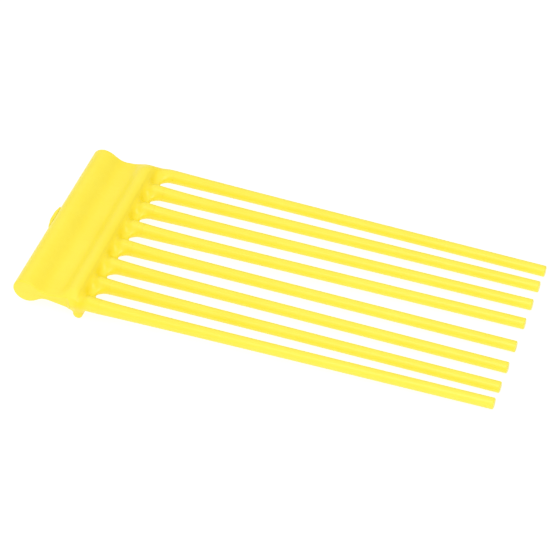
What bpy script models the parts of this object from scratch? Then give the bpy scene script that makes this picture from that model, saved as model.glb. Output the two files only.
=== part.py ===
"""Wide-toothed grooming comb: a two-shell head, a tine bed, eight long tines and a back lug.

Metres, +Z up. X runs along the tines towards their tips and Y along the barrel. Inside the head's own
frame x = 0 is the closed end of the slots and z = 0 is the tines' middle plane. An empty carries the
whole comb so that the world's origin lies under the middle of the comb, at its lowest height.
"""
import math

import bmesh
import bpy

MM = 0.001

# Tines
TINE_COUNT = 8
TINE_PITCH = 10.0 * MM
TINE_LENGTH = 142.5 * MM            # from the closed end of the slots to the tips
TINE_ROOT_RADIUS = 2.5 * MM
TINE_TIP_RADIUS = 1.98 * MM
TINE_TAPER_LENGTH = 34.0 * MM       # distance over which most of the taper happens
TINE_TIP_EDGE = 0.4 * MM            # chamfer around the square-cut tip
TINE_TIP_LEANS = [lean * MM for lean in (-2.4, -0.5, 0.3, 0.75, -0.6, -0.85, -0.2, 2.1)]
TANG_RADIUS = 1.0 * MM
TANG_LENGTH = 5.7 * MM
TINE_RINGS = 7
TINE_SIDES = 24

# Clearance between pieces that touch or fit into each other
GAP = 0.3 * MM

# Tine bed
BED_THICKNESS = 2.0 * MM
SLOT_LAND = 0.2 * MM                # strip of web left beside each boss at the slot's end
SOCKET_SIDES = 20
NOTCH_SIDES = 32

# Head: barrel, saddle, rib and lip
HEAD_SHOULDER = 1.0 * MM            # how far the head runs past the outer tines' axes
END_WALL = 1.2 * MM
BARREL_RADIUS = 4.7 * MM
BARREL_WALL = 1.4 * MM
BARREL_SIDES = 32
BARREL_BAYS = 3
BAY_WEB = 1.2 * MM                  # cross webs inside the barrel
HEAD_FRONT_X = -4.7 * MM
BARREL_X = -23.8 * MM
PARTING_Z = -0.55 * MM
SADDLE_TOP_Z = 0.8 * MM
SADDLE_BOTTOM_Z = -1.9 * MM
NECK_FILLET = 1.4 * MM              # concave round where the saddle meets the barrel
RIB_TOP_Z = 2.8 * MM
RIB_LENGTH = 7.0 * MM               # from the head's front to the foot of the rib's back flank
RIB_FLANK = 2.0 * MM
RIB_EDGE = 0.9 * MM
FLOOR_Z = -3.1 * MM                 # underside below the tongue
FLOOR_RAMP = 10.5 * MM             # slope of the underside, down to the lip's back
LIP_BOTTOM_Z = -6.9 * MM
LIP_LENGTH = 3.9 * MM
LIP_OVERHANG = 2.0 * MM             # how far the lip reaches in front of the shells, under the bed
LIP_EDGE = 1.3 * MM

# Posts that pin the tongue between the shells
POST_RADIUS = 1.1 * MM
POST_INSET = 2.4 * MM               # from the head's front to the posts' axes
POST_SINK = 0.8 * MM                # depth of the posts' sockets in the lower shell
POST_SIDES = 20
POST_ROOT = 0.4 * MM                # how far a post runs up into the upper shell

# Back lug
LUG_LENGTH = 9.6 * MM
LUG_HEIGHT = 4.6 * MM
LUG_PROUD = 0.8 * MM                # thickness of the pad outside its gap to the barrel
LUG_SHANK_HALF_HEIGHT = 1.2 * MM
LUG_FLANGE_HALF_HEIGHT = 1.9 * MM
LUG_FLANGE_THICKNESS = 1.2 * MM

ARC_STEPS = 5
CUT_MARGIN = 2.0 * MM               # how far cutters run past the faces they open

# Derived sizes and places
HEAD_WIDTH = (TINE_COUNT - 1) * TINE_PITCH + 2 * HEAD_SHOULDER
BED_TONGUE_DEPTH = RIB_LENGTH - RIB_FLANK - GAP     # the tongue stays under the rib's full height
BED_TONGUE_HALF_WIDTH = HEAD_WIDTH / 2 - END_WALL - GAP
SLOT_RADIUS = TINE_PITCH / 2 - TINE_ROOT_RADIUS - SLOT_LAND
BED_FRONT_X = SLOT_RADIUS
BOSS_BACK_X = HEAD_FRONT_X + GAP
TINE_SHOULDER_X = BED_FRONT_X + GAP
TANG_SOCKET_RADIUS = TANG_RADIUS + GAP
POST_X = HEAD_FRONT_X - POST_INSET
POST_HOLE_RADIUS = POST_RADIUS + GAP
POCKET_HALF_HEIGHT = BED_THICKNESS / 2 + GAP
POCKET_BACK_X = HEAD_FRONT_X - BED_TONGUE_DEPTH - GAP
BAY_RADIUS = BARREL_RADIUS - BARREL_WALL
LUG_BACK_RADIUS = BARREL_RADIUS + GAP + LUG_PROUD
ORIGIN_X = (TINE_LENGTH + BARREL_X - LUG_BACK_RADIUS) / 2
LOWEST_Z = min(LIP_BOTTOM_Z, -BARREL_RADIUS)

YELLOW_HEAD = (0.990, 0.807, 0.095, 1.0)
YELLOW_BED = (0.985, 0.800, 0.055, 1.0)
YELLOW_TINE = (0.985, 0.890, 0.200, 1.0)


def tine_y(index):
    """Root position of a tine across the comb; tine 0 is at the +Y end."""
    return TINE_PITCH * ((TINE_COUNT - 1) / 2 - index)


def slot_y(index):
    """Middle of the slot between one tine and the next."""
    return tine_y(index) - TINE_PITCH / 2


def plastic(name, color, roughness):
    material = bpy.data.materials.new(name)
    material.use_nodes = True
    shader = material.node_tree.nodes["Principled BSDF"]
    shader.inputs["Base Color"].default_value = color
    shader.inputs["Roughness"].default_value = roughness
    shader.inputs["Metallic"].default_value = 0.0
    material.diffuse_color = color
    return material


def add_object(name, mesh, carrier, place=(0.0, 0.0, 0.0)):
    obj = bpy.data.objects.new(name, mesh)
    bpy.context.scene.collection.objects.link(obj)
    obj.parent = carrier
    obj.location = place
    return obj


def mesh_from(name, bm, material=None):
    bmesh.ops.recalc_face_normals(bm, faces=bm.faces)
    mesh = bpy.data.meshes.new(name)
    bm.to_mesh(mesh)
    bm.free()
    mesh.shade_smooth()
    mesh.set_sharp_from_angle(angle=math.radians(32))
    if material:
        mesh.materials.append(material)
    return mesh


def hide_helper(obj):
    """Marks a cutter or an added shape that isn't a piece of its own."""
    obj.hide_render = True
    obj.display_type = "WIRE"
    return obj


def combine(obj, operation, helper):
    modifier = obj.modifiers.new(helper.name, "BOOLEAN")
    modifier.operation = operation
    modifier.object = helper
    modifier.solver = "EXACT"


def arc(x, z, radius, start, end, steps=ARC_STEPS):
    """Points on an arc in the XZ plane; angles in degrees from +X towards +Z."""
    points = []
    for step in range(steps + 1):
        angle = math.radians(start + (end - start) * step / steps)
        points.append((x + radius * math.cos(angle), z + radius * math.sin(angle)))
    return points


def add_prism(bm, outline, y_low, y_high):
    """Closed outline in the XZ plane, run along Y."""
    low = [bm.verts.new((x, y_low, z)) for x, z in outline]
    high = [bm.verts.new((x, y_high, z)) for x, z in outline]
    bm.faces.new(low)
    bm.faces.new(list(reversed(high)))
    count = len(outline)
    for i in range(count):
        j = (i + 1) % count
        bm.faces.new((low[i], low[j], high[j], high[i]))


def add_rings(bm, stations, sides, axis, centre=(0.0, 0.0, 0.0)):
    """Closed turned body along an axis from (distance, radius) stations."""
    along = {"X": (0, 1, 2), "Y": (1, 2, 0), "Z": (2, 0, 1)}[axis]
    rings = []
    for distance, radius in stations:
        ring = []
        for side in range(sides):
            angle = 2 * math.pi * (side + 0.5) / sides
            point = list(centre)
            point[along[0]] += distance
            point[along[1]] += radius * math.cos(angle)
            point[along[2]] += radius * math.sin(angle)
            ring.append(bm.verts.new(point))
        rings.append(ring)
    for back, front in zip(rings, rings[1:]):
        for i in range(sides):
            j = (i + 1) % sides
            bm.faces.new((back[i], back[j], front[j], front[i]))
    bm.faces.new(list(reversed(rings[0])))
    bm.faces.new(rings[-1])


def neck_points(face_z, side):
    """Fillet between the barrel and a saddle face; side is +1 above and -1 below."""
    centre_z = face_z + side * NECK_FILLET
    reach = BARREL_RADIUS + NECK_FILLET
    centre_x = BARREL_X + math.sqrt(reach * reach - centre_z * centre_z)
    barrel_angle = math.degrees(math.atan2(-centre_z, BARREL_X - centre_x))
    if side > 0:
        barrel_angle += 360 if barrel_angle < 0 else 0
        return arc(centre_x, centre_z, NECK_FILLET, barrel_angle, 270)
    barrel_angle += 360 if barrel_angle < 0 else 0
    return arc(centre_x, centre_z, NECK_FILLET, barrel_angle, 90)


def barrel_points(side, parting_z, first_neck_point):
    """Barrel's outside from the parting plane at its back over to the neck fillet."""
    start = math.degrees(math.atan2(parting_z, -math.sqrt(BARREL_RADIUS ** 2 - parting_z ** 2)))
    end = math.degrees(math.atan2(first_neck_point[1], first_neck_point[0] - BARREL_X))
    if side > 0:
        start += 360 if start < 0 else 0
    else:
        start -= 360 if start > 0 else 0
    points = arc(BARREL_X, 0.0, BARREL_RADIUS, start, end, BARREL_SIDES // 2)
    return points[:-1]


def upper_outline():
    neck = neck_points(SADDLE_TOP_Z, +1)
    low_z = PARTING_Z + GAP / 2
    rib_back_x = HEAD_FRONT_X - RIB_LENGTH
    outline = barrel_points(+1, low_z, neck[0]) + neck
    outline += [(rib_back_x, SADDLE_TOP_Z), (rib_back_x + RIB_FLANK, RIB_TOP_Z)]
    outline += arc(HEAD_FRONT_X - RIB_EDGE, RIB_TOP_Z - RIB_EDGE, RIB_EDGE, 90, 0)
    outline += [(HEAD_FRONT_X, low_z)]
    return outline


def lower_outline():
    neck = neck_points(SADDLE_BOTTOM_Z, -1)
    high_z = PARTING_Z - GAP / 2
    lip_front_x = HEAD_FRONT_X + LIP_OVERHANG
    lip_back_x = lip_front_x - LIP_LENGTH
    lip_top_z = -TINE_ROOT_RADIUS - GAP
    outline = barrel_points(-1, high_z, neck[0]) + neck
    outline += [(lip_back_x - FLOOR_RAMP, SADDLE_BOTTOM_Z), (lip_back_x, FLOOR_Z)]
    outline += arc(lip_back_x + LIP_EDGE, LIP_BOTTOM_Z + LIP_EDGE, LIP_EDGE, 180, 270)
    outline += arc(lip_front_x - LIP_EDGE, LIP_BOTTOM_Z + LIP_EDGE, LIP_EDGE, 270, 360)
    outline += [(lip_front_x, lip_top_z), (HEAD_FRONT_X, lip_top_z), (HEAD_FRONT_X, high_z)]
    return outline


def post_places():
    """Posts stand between tines, in every second slot."""
    return [(POST_X, slot_y(index)) for index in range(0, TINE_COUNT - 1, 2)]


def make_bay_cutter(carrier):
    """Hollow bays inside the barrel, with cross webs left between them."""
    bm = bmesh.new()
    inner_width = HEAD_WIDTH - 2 * END_WALL
    bay_length = (inner_width - (BARREL_BAYS - 1) * BAY_WEB) / BARREL_BAYS
    for bay in range(BARREL_BAYS):
        low = -inner_width / 2 + bay * (bay_length + BAY_WEB)
        stations = [(low, BAY_RADIUS), (low + bay_length, BAY_RADIUS)]
        add_rings(bm, stations, BARREL_SIDES, "Y", (BARREL_X, 0.0, 0.0))
    return hide_helper(add_object("bay_cutter", mesh_from("bay_cutter", bm), carrier))


def make_pocket_cutter(carrier):
    """Pocket for the bed's tongue, open at the head's front."""
    bm = bmesh.new()
    front_x = HEAD_FRONT_X + CUT_MARGIN / 4
    outline = [
        (POCKET_BACK_X, -POCKET_HALF_HEIGHT),
        (front_x, -POCKET_HALF_HEIGHT),
        (front_x, POCKET_HALF_HEIGHT),
        (POCKET_BACK_X, POCKET_HALF_HEIGHT),
    ]
    half_width = BED_TONGUE_HALF_WIDTH + GAP
    add_prism(bm, outline, -half_width, half_width)
    return hide_helper(add_object("pocket_cutter", mesh_from("pocket_cutter", bm), carrier))


def make_lug_slot_cutter(carrier):
    """Window in the barrel's back wall that the lug's shank passes through."""
    bm = bmesh.new()
    height = LUG_SHANK_HALF_HEIGHT + GAP
    outer_x = BARREL_X - BARREL_RADIUS - CUT_MARGIN
    inner_x = BARREL_X - BAY_RADIUS / 2
    outline = [(outer_x, -height), (inner_x, -height), (inner_x, height), (outer_x, height)]
    half_length = LUG_LENGTH / 2 + GAP
    add_prism(bm, outline, -half_length, half_length)
    return hide_helper(add_object("lug_slot_cutter", mesh_from("lug_slot_cutter", bm), carrier))


def make_posts(carrier, name, radius, low_z, high_z):
    bm = bmesh.new()
    for x, y in post_places():
        add_rings(bm, [(low_z, radius), (high_z, radius)], POST_SIDES, "Z", (x, y, 0.0))
    return hide_helper(add_object(name, mesh_from(name, bm), carrier))


def make_shells(carrier):
    bays = make_bay_cutter(carrier)
    pocket = make_pocket_cutter(carrier)
    lug_slot = make_lug_slot_cutter(carrier)
    post_low_z = -POCKET_HALF_HEIGHT - POST_SINK
    posts = make_posts(carrier, "post_adder", POST_RADIUS, post_low_z + GAP,
                       POCKET_HALF_HEIGHT + POST_ROOT)
    post_sockets = make_posts(carrier, "post_socket_cutter", POST_HOLE_RADIUS, post_low_z, 0.0)

    bm = bmesh.new()
    add_prism(bm, upper_outline(), -HEAD_WIDTH / 2, HEAD_WIDTH / 2)
    material = plastic("upper_shell_plastic", YELLOW_HEAD, 0.35)
    upper = add_object("upper_shell", mesh_from("upper_shell", bm, material), carrier)
    for cutter in (bays, pocket, lug_slot):
        combine(upper, "DIFFERENCE", cutter)
    combine(upper, "UNION", posts)

    bm = bmesh.new()
    add_prism(bm, lower_outline(), -HEAD_WIDTH / 2, HEAD_WIDTH / 2)
    material = plastic("lower_shell_plastic", YELLOW_HEAD, 0.35)
    lower = add_object("lower_shell", mesh_from("lower_shell", bm, material), carrier)
    for cutter in (bays, pocket, lug_slot, post_sockets):
        combine(lower, "DIFFERENCE", cutter)


def make_tine_bed(carrier):
    """Plate with a tongue at the back, round bosses in front and a round-ended slot between them."""
    bm = bmesh.new()
    half = BED_THICKNESS / 2
    tongue_x = HEAD_FRONT_X - BED_TONGUE_DEPTH
    outline = [(tongue_x, -half), (BED_FRONT_X, -half), (BED_FRONT_X, half), (tongue_x, half)]
    add_prism(bm, outline, -BED_TONGUE_HALF_WIDTH, BED_TONGUE_HALF_WIDTH)
    material = plastic("tine_bed_plastic", YELLOW_BED, 0.35)
    bed = add_object("tine_bed", mesh_from("tine_bed", bm, material), carrier)

    bosses = bmesh.new()
    sockets = bmesh.new()
    for index in range(TINE_COUNT):
        place = (0.0, tine_y(index), 0.0)
        boss_ends = [(BOSS_BACK_X, TINE_ROOT_RADIUS), (BED_FRONT_X, TINE_ROOT_RADIUS)]
        add_rings(bosses, boss_ends, TINE_SIDES, "X", place)
        socket_back_x = TINE_SHOULDER_X - TANG_LENGTH - GAP
        socket_ends = [(socket_back_x, TANG_SOCKET_RADIUS),
                       (BED_FRONT_X + CUT_MARGIN, TANG_SOCKET_RADIUS)]
        add_rings(sockets, socket_ends, SOCKET_SIDES, "X", place)
    boss_adder = hide_helper(add_object("boss_adder", mesh_from("boss_adder", bosses), carrier))
    socket_cutter = hide_helper(
        add_object("tang_socket_cutter", mesh_from("tang_socket_cutter", sockets), carrier))

    notches = bmesh.new()
    for index in range(TINE_COUNT - 1):
        ends = [(-TINE_ROOT_RADIUS - CUT_MARGIN, SLOT_RADIUS),
                (TINE_ROOT_RADIUS + CUT_MARGIN, SLOT_RADIUS)]
        add_rings(notches, ends, NOTCH_SIDES, "Z", (BED_FRONT_X, slot_y(index), 0.0))
    notch_cutter = hide_helper(
        add_object("slot_end_cutter", mesh_from("slot_end_cutter", notches), carrier))
    post_holes = make_posts(carrier, "post_hole_cutter", POST_HOLE_RADIUS,
                            -BED_THICKNESS, BED_THICKNESS)
    combine(bed, "UNION", boss_adder)
    for cutter in (socket_cutter, notch_cutter, post_holes):
        combine(bed, "DIFFERENCE", cutter)


def tine_stations():
    """(distance from the shoulder, radius) along a tine, from its tang to its tip."""
    length = TINE_LENGTH - TINE_SHOULDER_X
    stations = [(-TANG_LENGTH, TANG_RADIUS), (0.0, TANG_RADIUS)]
    for ring in range(TINE_RINGS):
        distance = (length - TINE_TIP_EDGE) * (ring / (TINE_RINGS - 1)) ** 2
        taper = math.exp(-distance / TINE_TAPER_LENGTH)
        radius = TINE_TIP_RADIUS + (TINE_ROOT_RADIUS - TINE_TIP_RADIUS) * taper
        stations.append((distance, radius))
    stations.append((length, stations[-1][1] - TINE_TIP_EDGE))
    return stations


def make_tines(carrier):
    """Each tine stands in its boss and leans a little to one side towards its tip."""
    length = TINE_LENGTH - TINE_SHOULDER_X
    for index in range(TINE_COUNT):
        name = f"tine_{index + 1}"
        bm = bmesh.new()
        add_rings(bm, tine_stations(), TINE_SIDES, "X")
        mesh = mesh_from(name, bm, plastic(f"{name}_plastic", YELLOW_TINE, 0.3))
        tine = add_object(name, mesh, carrier, (TINE_SHOULDER_X, tine_y(index), 0.0))
        tine.rotation_euler.z = math.atan(TINE_TIP_LEANS[index] / length)


def make_back_lug(carrier):
    """Curved pad outside the barrel, a shank through its wall and a flange that traps it inside."""
    pad_inner = BARREL_RADIUS + GAP
    pad_half_angle = math.degrees(math.asin(LUG_HEIGHT / 2 / LUG_BACK_RADIUS))
    shank_angle = math.degrees(math.asin(LUG_SHANK_HALF_HEIGHT / pad_inner))
    flange_reach = BAY_RADIUS - GAP
    flange_back_x = BARREL_X - math.sqrt(flange_reach ** 2 - LUG_FLANGE_HALF_HEIGHT ** 2)
    flange_front_x = flange_back_x + LUG_FLANGE_THICKNESS
    outline = arc(BARREL_X, 0.0, LUG_BACK_RADIUS, 180 - pad_half_angle, 180 + pad_half_angle)
    outline += arc(BARREL_X, 0.0, pad_inner, 180 + pad_half_angle, 180 + shank_angle)
    outline += [
        (flange_back_x, -LUG_SHANK_HALF_HEIGHT),
        (flange_back_x, -LUG_FLANGE_HALF_HEIGHT),
        (flange_front_x, -LUG_FLANGE_HALF_HEIGHT),
        (flange_front_x, LUG_FLANGE_HALF_HEIGHT),
        (flange_back_x, LUG_FLANGE_HALF_HEIGHT),
        (flange_back_x, LUG_SHANK_HALF_HEIGHT),
    ]
    outline += arc(BARREL_X, 0.0, pad_inner, 180 - shank_angle, 180 - pad_half_angle)
    bm = bmesh.new()
    add_prism(bm, outline, -LUG_LENGTH / 2, LUG_LENGTH / 2)
    material = plastic("back_lug_plastic", YELLOW_HEAD, 0.35)
    add_object("back_lug", mesh_from("back_lug", bm, material), carrier)


def main():
    for obj in list(bpy.data.objects):
        bpy.data.objects.remove(obj)
    carrier = bpy.data.objects.new("comb_carrier", None)
    bpy.context.scene.collection.objects.link(carrier)
    carrier.location = (-ORIGIN_X, 0.0, -LOWEST_Z)
    make_shells(carrier)
    make_tine_bed(carrier)
    make_tines(carrier)
    make_back_lug(carrier)


main()
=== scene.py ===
"""Looks of the wide-toothed grooming comb: one satin yellow moulding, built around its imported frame.

The head, the lip and the ridged bed are one continuous moulded form. It is described by a distance
field, meshed as one skin and then parted where the frame's pieces meet; the lug is a pad of its own
on the barrel's back. The tines follow a rule, so a geometry node tree makes them, one for each tine
of the frame.
"""
import math

import bpy
import numpy as np
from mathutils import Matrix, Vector


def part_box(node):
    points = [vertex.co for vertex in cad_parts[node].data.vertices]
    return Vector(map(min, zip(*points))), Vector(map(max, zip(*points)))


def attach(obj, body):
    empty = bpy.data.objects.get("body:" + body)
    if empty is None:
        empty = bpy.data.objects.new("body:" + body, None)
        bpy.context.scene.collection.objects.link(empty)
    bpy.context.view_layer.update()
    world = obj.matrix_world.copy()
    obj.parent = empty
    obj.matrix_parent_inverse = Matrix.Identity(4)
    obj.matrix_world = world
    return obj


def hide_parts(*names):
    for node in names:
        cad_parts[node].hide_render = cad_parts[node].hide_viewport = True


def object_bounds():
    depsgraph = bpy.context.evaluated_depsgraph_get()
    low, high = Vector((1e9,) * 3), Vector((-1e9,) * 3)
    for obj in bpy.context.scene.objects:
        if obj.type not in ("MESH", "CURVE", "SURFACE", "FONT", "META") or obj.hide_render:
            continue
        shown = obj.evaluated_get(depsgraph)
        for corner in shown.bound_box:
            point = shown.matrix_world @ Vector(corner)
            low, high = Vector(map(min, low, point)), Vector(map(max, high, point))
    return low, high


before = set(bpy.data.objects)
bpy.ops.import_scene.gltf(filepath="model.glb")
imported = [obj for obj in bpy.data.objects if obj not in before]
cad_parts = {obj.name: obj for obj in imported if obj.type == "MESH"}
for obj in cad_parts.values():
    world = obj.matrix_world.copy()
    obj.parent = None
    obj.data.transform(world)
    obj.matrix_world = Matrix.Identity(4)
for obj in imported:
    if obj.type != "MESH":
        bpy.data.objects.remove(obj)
cad_low, cad_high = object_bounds()

MM = 0.001
FAR_AWAY = 1.0                         # metres, well beyond the whole comb
MARGIN = 1.0 * MM                      # how far a helper shape or a grid reaches past the form

# Places and sizes read from the frame
UPPER_LOW, UPPER_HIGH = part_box("upper_shell")
LOWER_LOW, LOWER_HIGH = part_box("lower_shell")
BED_LOW, BED_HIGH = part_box("tine_bed")
LUG_LOW, LUG_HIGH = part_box("back_lug")
TINE_NAMES = sorted(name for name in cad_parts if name.startswith("tine_") and name != "tine_bed")
PLANE_Z = (BED_LOW.z + BED_HIGH.z) / 2
ROOT_RADIUS = (BED_HIGH.z - BED_LOW.z) / 2
PITCH = (BED_HIGH.y - BED_LOW.y - 2 * ROOT_RADIUS) / (len(TINE_NAMES) - 1)
OUTER_TINE_Y = BED_HIGH.y - ROOT_RADIUS
HALF_WIDTH = UPPER_HIGH.y
BARREL_RADIUS = UPPER_HIGH.z - PLANE_Z
BARREL_X = UPPER_LOW.x + BARREL_RADIUS
HALF_GAP = 0.15 * MM                   # half of the frame's clearance between two pieces
HEAD_SEAM_X = UPPER_HIGH.x + HALF_GAP
PARTING_Z = LOWER_HIGH.z + HALF_GAP
LIP_SEAM_Z = BED_LOW.z - HALF_GAP
HEAD_FRONT_X = UPPER_HIGH.x
BED_FRONT_X = BED_HIGH.x
SLOT_LAND = 0.2 * MM                   # web that the frame leaves beside a tine at a slot's end
SLOT_END_X = BED_FRONT_X - (PITCH / 2 - ROOT_RADIUS - SLOT_LAND)
BARREL_BACK_X = BARREL_X - BARREL_RADIUS

# Moulded form, measured from those places; tops and bottoms are heights above the tines' plane
HEAD_END_FAR = HALF_WIDTH - 0.1 * MM   # the moulded head sits a hair towards the near side
HEAD_END_NEAR = -HALF_WIDTH - 0.4 * MM
HEAD_EDGE = 0.5 * MM                   # rounding of the head's two end faces
SADDLE_TOP = 0.7 * MM
SADDLE_BOTTOM = -0.4 * MM
SADDLE_RISE = 0.05                     # slopes of the saddle's top and bottom towards the rib
SADDLE_DROP = 0.17
SADDLE_EDGE = 0.5 * MM
NECK_BLEND = 4.3 * MM
RIB_TOP = 3.35 * MM
RIB_RADIUS = 2.0 * MM
RIB_BLEND = 4.8 * MM
RIB_END_LENGTH = 4.5 * MM              # over this length the rib's top slopes down to its ends
RIB_END_SHARE = 0.5                    # share of the rib's height that it loses there
LIP_WIDTH = 3.4 * MM
LIP_BACK = 0.4 * MM                    # how far the lip stands behind the frame's front of it
LIP_ROUND = 1.7 * MM
LIP_BLEND = 1.4 * MM
WEB_TOP = 0.6 * MM
WEB_BOTTOM = -1.0 * MM
WEB_EDGE = 1.0 * MM
WEB_FRONT_X = BED_FRONT_X - 1.4 * MM
RIDGE_BLEND = 2.5 * MM
RIDGE_SINK = 0.45                      # share of a ridge's height that it loses at the rib's foot
RIDGE_RISE_LENGTH = 4.5 * MM           # length over which it gains that height
FAR_RISE_LENGTH = 7.0 * MM             # the same for the ridge at the head's far end
ROOT_CROWN = 0.38                      # share by which a tine's root is taller than round
CROWN_LENGTH = 11.0 * MM               # distance over which most of the crown fades
SLOT_RADIUS = 2.4 * MM
TINE_START_X = BED_FRONT_X + 1.4 * MM
TIP_RADIUS = 1.98 * MM
TAPER_LENGTH = 34.0 * MM
TIP_EDGE = 0.45 * MM
MOULD_LINE = 0.03 * MM                 # height of the mould's parting line along a tine
LUG_EDGE = 0.35 * MM
LUG_END_LENGTH = 3.2 * MM              # length over which the lug slopes down at its ends
LUG_END_SHARE = 0.5                    # share of its height that it keeps there
LUG_INNER_X = BARREL_X - BARREL_RADIUS / 2
EJECTOR_RADIUS = 2.0 * MM
EJECTOR_DEPTH = 0.12 * MM
EJECTOR_COUNT = 4
SEAM = 0.03 * MM                       # hairline left between two moulded pieces
CREASE_REACH = 3.0 * MM                # how far out a crease is felt
LUG_CREASE_REACH = 1.0 * MM
SHARP_ANGLE = math.radians(50)

# Meshing of the moulded form
SKIN_CELL = 0.25 * MM
LUG_CELL = 0.12 * MM
GRID_MARGIN = 2                        # empty cells around a form
PULLS = 3                              # times that each point is pulled onto the surface
NO_SLOPE = 1e-9

# Tines
TINE_SIDES = 48
TINE_SEGMENTS = 96
TIP_SHARE = 0.08                       # share of the segments that go into the tip's rounded edge
MOULD_LINE_SHARPNESS = 60.0
TIP_FACE_REACH = 0.2 * MM              # how near a frame tine's end a point counts as on its end face

# Yellow plastic: tone 0 is the deep colour and tone 1 the pale one
DEEP_YELLOW = (0.98, 0.77, 0.015, 1.0)
PALE_YELLOW = (1.0, 0.88, 0.085, 1.0)
TONE = 0.5
# painted light: the thin tines are paler towards their tips, as if light shone through them
PAINTED_LIGHT_AT_TIPS = 0.25
TONE_FROM_CLOUD = 0.5
TONE_FROM_STREAK = 0.2
TONE_FROM_GRAIN = 0.15
TONE_FROM_EDGE = 0.12
TONE_FROM_SCUFF = 0.08
# painted shade: the colour deepens in creases and over the lip, where shade falls
SHADE_FROM_CREASE = 0.36
SHADE_FROM_LIP = 0.45
LIP_SHADE_X = LOWER_HIGH.x - LIP_WIDTH / 2 + 1.3 * MM
LIP_SHADE_REACH = 2.1 * MM             # painted shade over the lip, where the thicker plastic lets less light through from below
ROUGHNESS = 0.36
ROUGHNESS_FROM_CLOUD = 0.12
ROUGHNESS_FROM_GRAIN = 0.1
ROUGHNESS_FROM_SCUFF = 0.14
POLISH_FROM_EDGE = 0.08
BUMP_STRENGTH = 0.5
BUMP_HEIGHT = 0.04 * MM
BUMP_FROM_GRAIN = 0.7
BUMP_FROM_STREAK = 0.4
BUMP_FROM_SCUFF = 0.3
PLASTIC_IOR = 1.5

# Patterns in the plastic: repeats for each metre, and detail
CLOUD = (70.0, 3.0)
STREAK = (900.0, 4.0)
GRAIN = (3200.0, 2.0)
SCUFF = (1300.0, 6.0)
NOISE_MIDDLE = 0.5                     # noise runs from 0 to 1
SCUFF_START = 0.58                     # noise above this is a scuff
SCUFF_CONTRAST = 10.0
FLOW_SCALE = (0.1, 1.0, 1.0)           # streaks and scuffs run along the tines

# Stage
FLOOR_COLOR = (0.22, 0.22, 0.22, 1.0)
FLOOR_ROUGHNESS = 0.9
FLOOR_GLOW = 0.86
FLOOR_HALF_SIZE = 3.0
WHITE = (1.0, 1.0, 1.0, 1.0)
WORLD_STRENGTH = 0.68
LIGHT_SIZE = 0.8
KEY_PLACE = (0.1, -0.5, 0.95)
KEY_POWER = 4.3
FILL_PLACE = (-0.4, 0.3, 0.8)
FILL_POWER = 0.8
CAMERA_AZIMUTH = math.radians(19.455)
CAMERA_ELEVATION = math.radians(44.835)
CAMERA_DISTANCE = 78.913 * PITCH
CAMERA_TARGET = (SLOT_END_X + 5.705 * PITCH, -0.203 * PITCH, PLANE_Z)
CAMERA_LENS = 146.67
CAMERA_SENSOR = 36.0
CAMERA_CLIP_START = 0.01


# ------------------------------------------------------------------ node graphs
class Value:
    """A socket that carries numbers; arithmetic on it adds Math nodes to its graph."""

    def __init__(self, graph, socket):
        self.graph = graph
        self.socket = socket

    def __add__(self, other):
        return self.graph.math("ADD", self, other)

    def __sub__(self, other):
        return self.graph.math("SUBTRACT", self, other)

    def __rsub__(self, other):
        return self.graph.math("SUBTRACT", other, self)

    def __mul__(self, other):
        return self.graph.math("MULTIPLY", self, other)

    def __truediv__(self, other):
        return self.graph.math("DIVIDE", self, other)

    __radd__ = __add__


class Graph:
    """Adds nodes to one node tree."""

    def __init__(self, tree):
        self.tree = tree

    def node(self, kind, settings=None, sockets=None):
        """New node: its settings are set first, then its sockets get their values or links."""
        node = self.tree.nodes.new(kind)
        for name, value in (settings or {}).items():
            setattr(node, name, value)
        for key, value in (sockets or {}).items():
            self.feed(node.inputs[key], value)
        return node

    def feed(self, socket, value):
        if isinstance(value, Value):
            value = value.socket
        if isinstance(value, bpy.types.NodeSocket):
            self.tree.links.new(value, socket)
        else:
            socket.default_value = value

    def math(self, operation, *values):
        sockets = dict(enumerate(values))
        node = self.node("ShaderNodeMath", {"operation": operation}, sockets)
        return Value(self, node.outputs[0])

    def clamp01(self, value):
        return self.math("MINIMUM", self.math("MAXIMUM", value, 0.0), 1.0)

    def number(self, node, output=0):
        return Value(self, node.outputs[output])


# ------------------------------------------------------------------ distance fields
def rounded_box(points, low, high, edge):
    """Signed distance to an upright box with rounded edges; low and high are its corners."""
    centre = (np.array(low) + np.array(high)) / 2
    half = (np.array(high) - np.array(low)) / 2
    reach = [np.abs(points[axis] - centre[axis]) - half[axis] + edge for axis in range(3)]
    outside = sum(np.maximum(distance, 0.0) ** 2 for distance in reach)
    inside = np.minimum(np.maximum(np.maximum(reach[0], reach[1]), reach[2]), 0.0)
    return np.sqrt(outside) + inside - edge


def wedge(points, low, high, edge, top_rise, bottom_drop):
    """Rounded box whose top climbs and whose bottom drops by these slopes towards +X.

    Heights are folded about the middle, so one face of a box stands for both the top and the bottom.
    """
    run = points[0] - low[0]
    middle = (low[2] + high[2]) / 2 + run * (top_rise - bottom_drop) / 2
    grown = run * (top_rise + bottom_drop) / 2
    height = np.abs(points[2] - middle) - grown
    folded_low = (low[0], low[1], -FAR_AWAY)
    folded_high = (high[0], high[1], (high[2] - low[2]) / 2)
    return rounded_box([points[0], points[1], height], folded_low, folded_high, edge)


def run_across_head(points, profile, edge):
    """Signed distance to a profile in the XZ plane, run from one end of the head to the other."""
    middle = (HEAD_END_FAR + HEAD_END_NEAR) / 2
    around = profile + edge
    along = np.abs(points[1] - middle) - (HEAD_END_FAR - HEAD_END_NEAR) / 2 + edge
    outside = np.maximum(around, 0.0) ** 2 + np.maximum(along, 0.0) ** 2
    return np.sqrt(outside) + np.minimum(np.maximum(around, along), 0.0) - edge


def round_profile(points, x, z, radius):
    return np.sqrt((points[0] - x) ** 2 + (points[2] - z) ** 2) - radius


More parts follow.
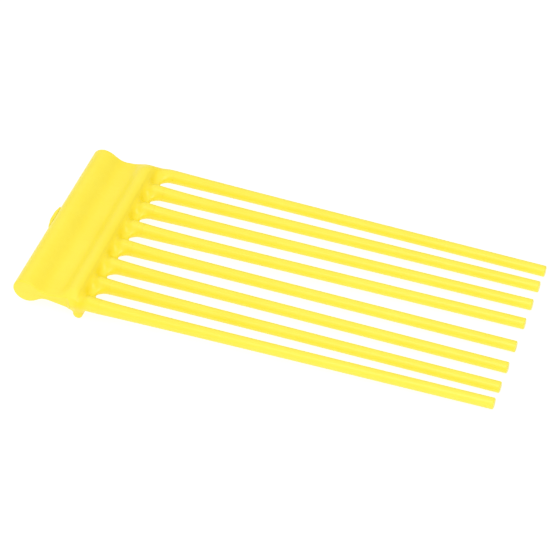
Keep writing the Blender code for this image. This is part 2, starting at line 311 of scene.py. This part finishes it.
def blend_union(first, second, width):
    """Union of two fields with a fillet about as wide as the given width."""
    overlap = np.maximum(width - np.abs(first - second), 0.0) / width
    return np.minimum(first, second) - overlap ** 2 * width / 4


def blend_cut(solid, cutter, width):
    """Solid minus cutter, with a rounded edge between them."""
    return -blend_union(-solid, cutter, width)


def tine_radius(x):
    """Radius of a tine at a place along it: it tapers near the root, then is nearly constant."""
    distance = np.maximum(x - BED_FRONT_X, 0.0)
    return TIP_RADIUS + (ROOT_RADIUS - TIP_RADIUS) * np.exp(-distance / TAPER_LENGTH)


def is_far_tine(root_y):
    return root_y > OUTER_TINE_Y - PITCH / 2


def tine_crown(x, root_y):
    """Share by which a tine's upper half is taller than round; the far tine is round all along."""
    if is_far_tine(root_y):
        return np.zeros_like(x)
    return ROOT_CROWN * np.exp(-np.maximum(x - SLOT_END_X, 0.0) / CROWN_LENGTH)


def smooth_step(share):
    share = np.clip(share, 0.0, 1.0)
    return share * share * (3.0 - 2.0 * share)


def tine_roots():
    return [OUTER_TINE_Y - index * PITCH for index in range(len(TINE_NAMES))]


def head_profile(points):
    """Barrel, saddle, rib and lip as one profile in the XZ plane; the rib's top falls towards its ends."""
    flat = [points[0], np.zeros_like(points[1]), points[2]]
    barrel = round_profile(points, BARREL_X, PLANE_Z, BARREL_RADIUS)
    saddle = wedge(flat, (BARREL_X, -HALF_WIDTH, PLANE_Z + SADDLE_BOTTOM),
                   (HEAD_FRONT_X, HALF_WIDTH, PLANE_Z + SADDLE_TOP), SADDLE_EDGE,
                   SADDLE_RISE, SADDLE_DROP)
    end = np.clip((np.abs(points[1]) - HALF_WIDTH + RIB_END_LENGTH) / RIB_END_LENGTH, 0.0, 1.0)
    rib_foot_z = PLANE_Z + RIB_TOP - 2 * RIB_RADIUS
    rib_height = (points[2] - rib_foot_z) / (1.0 - RIB_END_SHARE * end ** 2)
    rib = round_profile([points[0], points[1], rib_foot_z + rib_height],
                        HEAD_FRONT_X - RIB_RADIUS, rib_foot_z + RIB_RADIUS, RIB_RADIUS)
    lip_front = LOWER_HIGH.x - LIP_BACK
    lip = rounded_box(flat, (lip_front - LIP_WIDTH, -HALF_WIDTH, LOWER_LOW.z),
                      (lip_front, HALF_WIDTH, PLANE_Z + WEB_BOTTOM), LIP_ROUND)
    profile = blend_union(barrel, saddle, NECK_BLEND)
    profile = blend_union(profile, rib, RIB_BLEND)
    return blend_union(profile, lip, LIP_BLEND)


def head_field(points):
    return cut_ejector_marks(points, run_across_head(points, head_profile(points), HEAD_EDGE))


def cut_ejector_marks(points, head):
    """Shallow round marks that the mould's ejector pins leave under the saddle."""
    x = (BARREL_X + BARREL_RADIUS + LOWER_HIGH.x - LIP_WIDTH) / 2
    below = points[2] < PLANE_Z
    for mark in range(EJECTOR_COUNT):
        y = (mark - (EJECTOR_COUNT - 1) / 2) * 2 * PITCH
        disc = np.sqrt((points[0] - x) ** 2 + (points[1] - y) ** 2) - EJECTOR_RADIUS
        head = head + EJECTOR_DEPTH * smooth_step(-disc / EJECTOR_DEPTH) * below
    return head


def bed_field(points):
    """Web with round-ended slots, and the ridges that run into the tines."""
    web = rounded_box(points, (HEAD_FRONT_X - RIB_RADIUS, -OUTER_TINE_Y, PLANE_Z + WEB_BOTTOM),
                      (WEB_FRONT_X, OUTER_TINE_Y, PLANE_Z + WEB_TOP), WEB_EDGE)
    slot_x = np.minimum(points[0] - SLOT_END_X - SLOT_RADIUS, 0.0)
    for root_y in tine_roots()[:-1]:
        slot_y = points[1] - (root_y - PITCH / 2)
        slot = np.sqrt(slot_x ** 2 + slot_y ** 2) - SLOT_RADIUS
        web = blend_cut(web, slot, WEB_EDGE)
    radius = tine_radius(points[0])
    ridges = np.full_like(points[0], FAR_AWAY)
    for root_y in tine_roots():
        rise = FAR_RISE_LENGTH if is_far_tine(root_y) else RIDGE_RISE_LENGTH
        climb = smooth_step((points[0] - HEAD_FRONT_X) / rise)
        stretch = 1.0 - RIDGE_SINK * (1.0 - climb) + tine_crown(points[0], root_y) * climb
        height = points[2] - PLANE_Z
        height = np.where(height > 0.0, height / stretch, height)
        ridges = np.minimum(ridges, np.sqrt((points[1] - root_y) ** 2 + height ** 2) - radius)
    ends = np.maximum(HEAD_FRONT_X - RIB_RADIUS - points[0], points[0] - TINE_START_X - SKIN_CELL)
    return np.maximum(blend_union(web, ridges, RIDGE_BLEND), ends)


def moulding_field(points):
    return blend_union(head_field(points), bed_field(points), RIDGE_BLEND)


def lug_field(points):
    """Low lug that hugs the barrel's back and slopes down to it at both ends."""
    middle_y = (LUG_LOW.y + LUG_HIGH.y) / 2
    half_length = (LUG_HIGH.y - LUG_LOW.y) / 2
    slope = smooth_step((np.abs(points[1] - middle_y) - half_length + LUG_END_LENGTH) / LUG_END_LENGTH)
    barrel = np.sqrt((points[0] - BARREL_X) ** 2 + (points[2] - PLANE_Z) ** 2) - BARREL_RADIUS
    proud = (BARREL_BACK_X - LUG_LOW.x) * (1.0 - slope * (1.0 - LUG_END_SHARE))
    low = (LUG_LOW.x - MARGIN, LUG_LOW.y, LUG_LOW.z)
    high = (LUG_INNER_X, LUG_HIGH.y, LUG_HIGH.z)
    pad = blend_cut(rounded_box(points, low, high, LUG_EDGE), proud - barrel, LUG_EDGE)
    return np.maximum(pad, SEAM - barrel)


# ------------------------------------------------------------------ skins from fields
def sample_grid(low, high, cell):
    axes = [np.arange(low[axis] - GRID_MARGIN * cell, high[axis] + (GRID_MARGIN + 1) * cell, cell)
            for axis in range(3)]
    return axes, np.meshgrid(*axes, indexing="ij")


def corner_slices(shape):
    """For each of a cell's eight corners, its offset and the slices that pick it from the grid."""
    corners = {}
    for offset in np.ndindex(2, 2, 2):
        corners[offset] = tuple(slice(o, n - 1 + o) for o, n in zip(offset, shape))
    return corners


def cell_points(values, axes, active, cell):
    """One point in each active cell: the mean of the places where its edges cross the surface."""
    corners = corner_slices(values.shape)
    total = np.zeros((active.sum(), 3))
    count = np.zeros(active.sum())
    for start, start_slice in corners.items():
        for axis in range(3):
            if start[axis]:
                continue
            end = tuple(o + (a == axis) for a, o in enumerate(start))
            first = values[start_slice][active]
            second = values[corners[end]][active]
            crosses = (first < 0) != (second < 0)
            share = np.where(crosses, first / np.where(crosses, first - second, 1.0), 0.0)
            place = np.tile(np.array(start, float), (len(first), 1))
            place[:, axis] += share
            total += np.where(crosses[:, None], place, 0.0)
            count += crosses
    base = np.argwhere(active) + total / count[:, None]
    return base * cell + np.array([axis[0] for axis in axes])


def cell_faces(values, index):
    """A quad around each grid edge that crosses the surface, facing outwards."""
    inside = values < 0
    faces = []
    for axis in range(3):
        other = [(axis + 1) % 3, (axis + 2) % 3]
        start = [slice(1, -1)] * 3
        end = [slice(1, -1)] * 3
        start[axis] = slice(0, -1)
        end[axis] = slice(1, None)
        leaves = inside[tuple(start)] & ~inside[tuple(end)]
        enters = ~inside[tuple(start)] & inside[tuple(end)]
        for mask, order in ((leaves, (0, 1, 2, 3)), (enters, (3, 2, 1, 0))):
            place = np.argwhere(mask)
            place[:, other[0]] += 1
            place[:, other[1]] += 1
            quad = []
            for step_a, step_b in ((-1, -1), (0, -1), (0, 0), (-1, 0)):
                around = place.copy()
                around[:, other[0]] += step_a
                around[:, other[1]] += step_b
                quad.append(index[tuple(around.T)])
            faces.append(np.stack([quad[k] for k in order], axis=1))
    return np.concatenate(faces)


def field_normals(field, points, step):
    """Unit gradient of a field at each point."""
    gradient = np.zeros_like(points)
    for axis in range(3):
        shift = np.zeros(3)
        shift[axis] = step
        gradient[:, axis] = field((points + shift).T) - field((points - shift).T)
    gradient /= 2 * step
    return gradient / np.maximum(np.linalg.norm(gradient, axis=1, keepdims=True), NO_SLOPE)


def skin(name, field, low, high, cell):
    """Mesh of a field's surface: one point in each crossed cell, pulled onto the surface."""
    axes, grid = sample_grid(low, high, cell)
    values = field(grid)
    corners = corner_slices(values.shape)
    count = sum((values[part] < 0).astype(np.int8) for part in corners.values())
    active = (count > 0) & (count < 8)
    index = np.full(active.shape, -1)
    index[active] = np.arange(active.sum())
    points = cell_points(values, axes, active, cell)
    for _ in range(PULLS):
        normals = field_normals(field, points, cell / 4)
        distance = np.clip(field(points.T), -cell / 2, cell / 2)
        points -= normals * distance[:, None]
    mesh = bpy.data.meshes.new(name)
    mesh.from_pydata(points.tolist(), [], cell_faces(values, index).tolist())
    mesh.validate()
    return mesh


# ------------------------------------------------------------------ pieces
def new_object(name, mesh):
    obj = bpy.data.objects.new(name, mesh)
    bpy.context.scene.collection.objects.link(obj)
    return obj


def prism(name, outline, half_width):
    """Outline that turns from +X to +Z, run along Y to both sides as a closed solid."""
    count = len(outline)
    points = [(x, side * half_width, z) for side in (-1, 1) for x, z in outline]
    sides = [(count + i, count + (i + 1) % count, (i + 1) % count, i) for i in range(count)]
    caps = [tuple(range(count)), tuple(range(count, 2 * count))[::-1]]
    mesh = bpy.data.meshes.new(name)
    mesh.from_pydata(points, [], sides + caps)
    return new_object(name, mesh)


def frozen(obj, name):
    """Plain mesh object of what the given object evaluates to; the given object goes."""
    depsgraph = bpy.context.evaluated_depsgraph_get()
    mesh = bpy.data.meshes.new_from_object(obj.evaluated_get(depsgraph))
    mesh.name = name
    bpy.data.objects.remove(obj)
    return new_object(name, mesh)


def part_off(moulding, region, name):
    """The share of the moulding that lies inside a region."""
    obj = new_object(name + "_cut", moulding)
    modifier = obj.modifiers.new("region", "BOOLEAN")
    modifier.operation = "INTERSECT"
    modifier.solver = "MANIFOLD"
    modifier.object = region
    piece = frozen(obj, name)
    bpy.data.objects.remove(region)
    return piece


def mark_creases(piece, field, reach):
    """Stores how hollow (above 0) or how proud (below 0) the surface is around each point; the material
    paints shade into the hollows and wear onto the proud edges.
    """
    mesh = piece.data
    places = np.empty(len(mesh.vertices) * 3)
    mesh.vertices.foreach_get("co", places)
    places = places.reshape(-1, 3)
    normals = field_normals(field, places, reach / 8)
    outward = field((places + normals * reach).T)
    hollow = np.clip(1.0 - outward / reach, -1.0, 1.0)
    attribute = mesh.attributes.new("hollow", "FLOAT", "POINT")
    attribute.data.foreach_set("value", hollow.astype(np.float32))


def finish_piece(piece, material, slot, *nodes):
    """Material and smooth shading, then its body and the nodes that it stands for; the slot argument is
    not used.
    """
    piece.data.materials.clear()
    piece.data.materials.append(material)
    piece.data.shade_smooth()
    piece.data.set_sharp_from_angle(angle=SHARP_ANGLE)
    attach(piece, "root")
    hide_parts(*nodes)


def make_moulding(material):
    """Head and bed as one moulding, parted along the frame's seams."""
    low = (UPPER_LOW.x, BED_LOW.y - MARGIN, LOWER_LOW.z)
    high = (TINE_START_X + SKIN_CELL, BED_HIGH.y + MARGIN, UPPER_HIGH.z)
    moulding = skin("moulding", moulding_field, low, high, SKIN_CELL)
    back_x = low[0] - MARGIN
    front_x = high[0] + MARGIN
    floor_z = low[2] - MARGIN
    roof_z = high[2] + MARGIN
    half = SEAM / 2
    upper_region = [(back_x, PARTING_Z + half), (HEAD_SEAM_X - half, PARTING_Z + half),
                    (HEAD_SEAM_X - half, roof_z), (back_x, roof_z)]
    lower_region = [(back_x, floor_z), (front_x, floor_z), (front_x, LIP_SEAM_Z - half),
                    (HEAD_SEAM_X - half, LIP_SEAM_Z - half), (HEAD_SEAM_X - half, PARTING_Z - half),
                    (back_x, PARTING_Z - half)]
    bed_region = [(HEAD_SEAM_X + half, LIP_SEAM_Z + half), (TINE_START_X - half, LIP_SEAM_Z + half),
                  (TINE_START_X - half, roof_z), (HEAD_SEAM_X + half, roof_z)]
    cuts = (
        ("head_upper", upper_region, "head_plastic", "upper_shell"),
        ("head_lower", lower_region, "head_plastic", "lower_shell"),
        ("ridged_bed", bed_region, "bed_plastic", "tine_bed"),
    )
    for name, outline, slot, node in cuts:
        piece = part_off(moulding, prism(name + "_region", outline, 2 * BED_HIGH.y), name)
        mark_creases(piece, moulding_field, CREASE_REACH)
        finish_piece(piece, material, slot, node)
    bpy.data.meshes.remove(moulding)


def make_lug(material):
    high = (LUG_INNER_X, LUG_HIGH.y, LUG_HIGH.z)
    piece = new_object("back_lug_pad", skin("back_lug_pad", lug_field, LUG_LOW, high, LUG_CELL))
    mark_creases(piece, lug_field, LUG_CREASE_REACH)
    finish_piece(piece, material, "lug_plastic", "back_lug")


# ------------------------------------------------------------------ tines
TINE_INPUTS = {
    "Start": "NodeSocketVector",
    "Length": "NodeSocketFloat",
    "Root Radius": "NodeSocketFloat",
    "Tip Radius": "NodeSocketFloat",
    "Taper Length": "NodeSocketFloat",
    "Tip Edge": "NodeSocketFloat",
    "Root Crown": "NodeSocketFloat",
    "Crown Length": "NodeSocketFloat",
    "Side Lean": "NodeSocketFloat",
    "Mould Line": "NodeSocketFloat",
}


def tine_tree(material):
    """Geometry tree of one tine: a turned, tapering rod with a lean and a rounded tip edge."""
    tree = bpy.data.node_groups.new("tine", "GeometryNodeTree")
    for name, kind in TINE_INPUTS.items():
        tree.interface.new_socket(name=name, in_out="INPUT", socket_type=kind)
    tree.interface.new_socket(name="Tine", in_out="OUTPUT", socket_type="NodeSocketGeometry")
    graph = Graph(tree)
    given = graph.node("NodeGroupInput")
    start, length, root, tip, taper, edge, crown, crown_length, lean, line = (
        graph.number(given, name) for name in TINE_INPUTS)

    rod = graph.node("GeometryNodeMeshCylinder", {"fill_type": "NGON"},
                     {"Vertices": TINE_SIDES, "Side Segments": TINE_SEGMENTS,
                      "Radius": 1.0, "Depth": 1.0})
    place = graph.node("GeometryNodeInputPosition")
    unit = graph.node("ShaderNodeSeparateXYZ", sockets={0: place.outputs[0]})
    across, up, along = (graph.number(unit, axis) for axis in range(3))
    share = along + 0.5
    body = graph.clamp01(share / (1.0 - TIP_SHARE))
    turn = graph.clamp01((share - (1.0 - TIP_SHARE)) / TIP_SHARE) * (math.pi / 2)
    distance = body * (length - edge) + edge * graph.math("SINE", turn)
    fall = graph.math("EXPONENT", distance / taper * -1.0)
    radius = tip + (root - tip) * fall - edge * (1.0 - graph.math("COSINE", turn))
    seam = graph.math("EXPONENT", up * up * -MOULD_LINE_SHARPNESS)
    radius = radius + line * seam
    crown_left = crown * graph.math("EXPONENT", distance / crown_length * -1.0)
    height = radius * (up + graph.math("MAXIMUM", up, 0.0) * crown_left)
    origin = graph.node("ShaderNodeSeparateXYZ", sockets={0: start})
    x, y, z = (graph.number(origin, axis) for axis in range(3))
    moved = graph.node("ShaderNodeCombineXYZ", sockets={
        0: x + distance, 1: y + lean * body + radius * across, 2: z + height})
    shaped = graph.node("GeometryNodeSetPosition",
                        sockets={"Geometry": rod.outputs[0], "Position": moved.outputs[0]})
    real = graph.node("GeometryNodeRealizeInstances", sockets={0: shaped.outputs[0]})
    finished = graph.node("GeometryNodeSetMaterial", sockets={0: real.outputs[0], "Material": material})
    graph.node("NodeGroupOutput", sockets={0: finished.outputs[0]})
    return tree


def tip_centre(name):
    """Middle of a frame tine's end face."""
    end_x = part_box(name)[1].x - TIP_FACE_REACH
    rim = [v.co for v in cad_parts[name].data.vertices if v.co.x > end_x]
    return sum(rim, Vector()) / len(rim)


def make_tines(material):
    tree = tine_tree(material)
    identifiers = {item.name: item.identifier for item in tree.interface.items_tree
                   if item.in_out == "INPUT"}
    for name, root_y in zip(TINE_NAMES, tine_roots()):
        values = {
            "Start": (TINE_START_X + SEAM / 2, root_y, PLANE_Z),
            "Length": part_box(name)[1].x - TINE_START_X - SEAM / 2,
            "Root Radius": float(tine_radius(TINE_START_X)),
            "Tip Radius": TIP_RADIUS,
            "Taper Length": TAPER_LENGTH,
            "Tip Edge": TIP_EDGE,
            "Root Crown": float(tine_crown(TINE_START_X, root_y)),
            "Crown Length": CROWN_LENGTH,
            "Side Lean": tip_centre(name).y - root_y,
            "Mould Line": MOULD_LINE,
        }
        obj = new_object(name + "_tree", bpy.data.meshes.new(name + "_tree"))
        modifier = obj.modifiers.new("tine", "NODES")
        modifier.node_group = tree
        for key, value in values.items():
            modifier[identifiers[key]] = value
        rod = frozen(obj, name + "_rod")
        finish_piece(rod, material, "tine_plastic", name)


# ------------------------------------------------------------------ materials
def moulded_yellow():
    """Satin moulded plastic: cloudy tone, flow streaks, fine grain, scuffs and polished edges, with
    painted shade in creases and over the lip and painted light towards the tips.
    """
    material = bpy.data.materials.new("moulded_yellow")
    material.use_nodes = True
    tree = material.node_tree
    tree.nodes.clear()
    graph = Graph(tree)
    coords = graph.node("ShaderNodeTexCoord").outputs["Object"]
    mapping = graph.node("ShaderNodeMapping", sockets={"Vector": coords, "Scale": FLOW_SCALE})
    along_tines = mapping.outputs[0]

    def noise(vector, pattern):
        scale, detail = pattern
        return graph.number(graph.node("ShaderNodeTexNoise", sockets={
            "Vector": vector, "Scale": scale, "Detail": detail}))

    cloud = noise(coords, CLOUD)
    streak = noise(along_tines, STREAK)
    grain = noise(coords, GRAIN)
    scuff = graph.clamp01((noise(along_tines, SCUFF) - SCUFF_START) * SCUFF_CONTRAST)
    hollow = graph.number(graph.node("ShaderNodeAttribute", {"attribute_name": "hollow"}), "Fac")
    edge = graph.clamp01(hollow * -1.0)
    crease = graph.clamp01(hollow)
    x = graph.number(graph.node("ShaderNodeSeparateXYZ", sockets={0: coords}))
    # painted light: paler towards the tips, as if light shone through the thin tines
    along = graph.clamp01((x - HEAD_FRONT_X) / (cad_high.x - HEAD_FRONT_X))
    # painted shade over the lip, where less light comes up through the plastic
    past_lip = (x - LIP_SHADE_X) / LIP_SHADE_REACH
    shade_over_lip = graph.math("EXPONENT", past_lip * past_lip * -1.0)

    mottle = ((cloud - NOISE_MIDDLE) * TONE_FROM_CLOUD + (streak - NOISE_MIDDLE) * TONE_FROM_STREAK
              + (grain - NOISE_MIDDLE) * TONE_FROM_GRAIN)
    # painted shade: colour deepened in the creases and over the lip
    painted_shade = crease * SHADE_FROM_CREASE + shade_over_lip * SHADE_FROM_LIP
    tone = graph.clamp01(TONE + along * PAINTED_LIGHT_AT_TIPS + mottle + edge * TONE_FROM_EDGE
                         + scuff * TONE_FROM_SCUFF - painted_shade)
    color = graph.node("ShaderNodeMix", {"data_type": "RGBA"}, {0: tone, 6: DEEP_YELLOW, 7: PALE_YELLOW})
    roughness = (ROUGHNESS + (cloud - NOISE_MIDDLE) * ROUGHNESS_FROM_CLOUD
                 + (grain - NOISE_MIDDLE) * ROUGHNESS_FROM_GRAIN
                 + scuff * ROUGHNESS_FROM_SCUFF - edge * POLISH_FROM_EDGE)
    relief = grain * BUMP_FROM_GRAIN + streak * BUMP_FROM_STREAK - scuff * BUMP_FROM_SCUFF
    bump = graph.node("ShaderNodeBump", sockets={
        "Strength": BUMP_STRENGTH, "Distance": BUMP_HEIGHT, "Height": relief})
    shader = graph.node("ShaderNodeBsdfPrincipled", sockets={
        "Base Color": color.outputs[2],
        "Roughness": roughness,
        "IOR": PLASTIC_IOR,
        "Normal": bump.outputs[0],
    })
    graph.node("ShaderNodeOutputMaterial", sockets={"Surface": shader.outputs[0]})
    return material


def floor_material():
    """Pale floor that glows like a light table, so that shadows stay soft."""
    material = bpy.data.materials.new("pale_floor")
    material.use_nodes = True
    shader = material.node_tree.nodes["Principled BSDF"]
    shader.inputs["Base Color"].default_value = FLOOR_COLOR
    shader.inputs["Roughness"].default_value = FLOOR_ROUGHNESS
    shader.inputs["Emission Color"].default_value = WHITE
    shader.inputs["Emission Strength"].default_value = FLOOR_GLOW
    return material


# ------------------------------------------------------------------ stage
def make_floor():
    """Pale floor under the lip and the tips, tilted by the small angle at which the comb lies."""
    tip_x = max(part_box(name)[1].x for name in TINE_NAMES)
    tip_z = PLANE_Z - TIP_RADIUS
    lip_x = LOWER_HIGH.x - LIP_WIDTH / 2
    tilt = math.atan2(tip_z - LOWER_LOW.z, tip_x - lip_x)
    mesh = bpy.data.meshes.new("floor")
    corners = []
    for x_side, y_side in ((-1, -1), (1, -1), (1, 1), (-1, 1)):
        run = x_side * FLOOR_HALF_SIZE
        corners.append((lip_x + run * math.cos(tilt), y_side * FLOOR_HALF_SIZE,
                        LOWER_LOW.z + run * math.sin(tilt)))
    mesh.from_pydata(corners, [], [(0, 1, 2, 3)])
    floor = new_object("floor", mesh)
    mesh.materials.append(floor_material())


def aim(obj, target):
    obj.rotation_euler = (Vector(target) - obj.location).to_track_quat("-Z", "Y").to_euler()


def make_light(name, place, power):
    data = bpy.data.lights.new(name, "AREA")
    data.shape = "DISK"
    data.size = LIGHT_SIZE
    data.energy = power
    light = bpy.data.objects.new(name, data)
    bpy.context.scene.collection.objects.link(light)
    light.location = place
    aim(light, (0.0, 0.0, PLANE_Z))


def make_lights():
    world = bpy.data.worlds.new("studio")
    world.use_nodes = True
    background = world.node_tree.nodes["Background"]
    background.inputs["Color"].default_value = WHITE
    background.inputs["Strength"].default_value = WORLD_STRENGTH
    bpy.context.scene.world = world
    make_light("key", KEY_PLACE, KEY_POWER)
    make_light("fill", FILL_PLACE, FILL_POWER)


def make_camera():
    """Long lens from the near side and above, looking at about the comb's middle."""
    back = Vector((math.sin(CAMERA_AZIMUTH) * math.cos(CAMERA_ELEVATION),
                   -math.cos(CAMERA_AZIMUTH) * math.cos(CAMERA_ELEVATION), math.sin(CAMERA_ELEVATION)))
    data = bpy.data.cameras.new("camera")
    data.sensor_width = CAMERA_SENSOR
    data.lens = CAMERA_LENS
    data.clip_start = CAMERA_CLIP_START
    camera = bpy.data.objects.new("camera", data)
    bpy.context.scene.collection.objects.link(camera)
    camera.location = Vector(CAMERA_TARGET) + back * CAMERA_DISTANCE
    aim(camera, CAMERA_TARGET)
    bpy.context.scene.camera = camera


plastic = moulded_yellow()
make_moulding(plastic)
make_lug(plastic)
make_tines(plastic)
make_floor()
make_lights()
make_camera()
bpy.context.scene.view_settings.view_transform = "Standard"
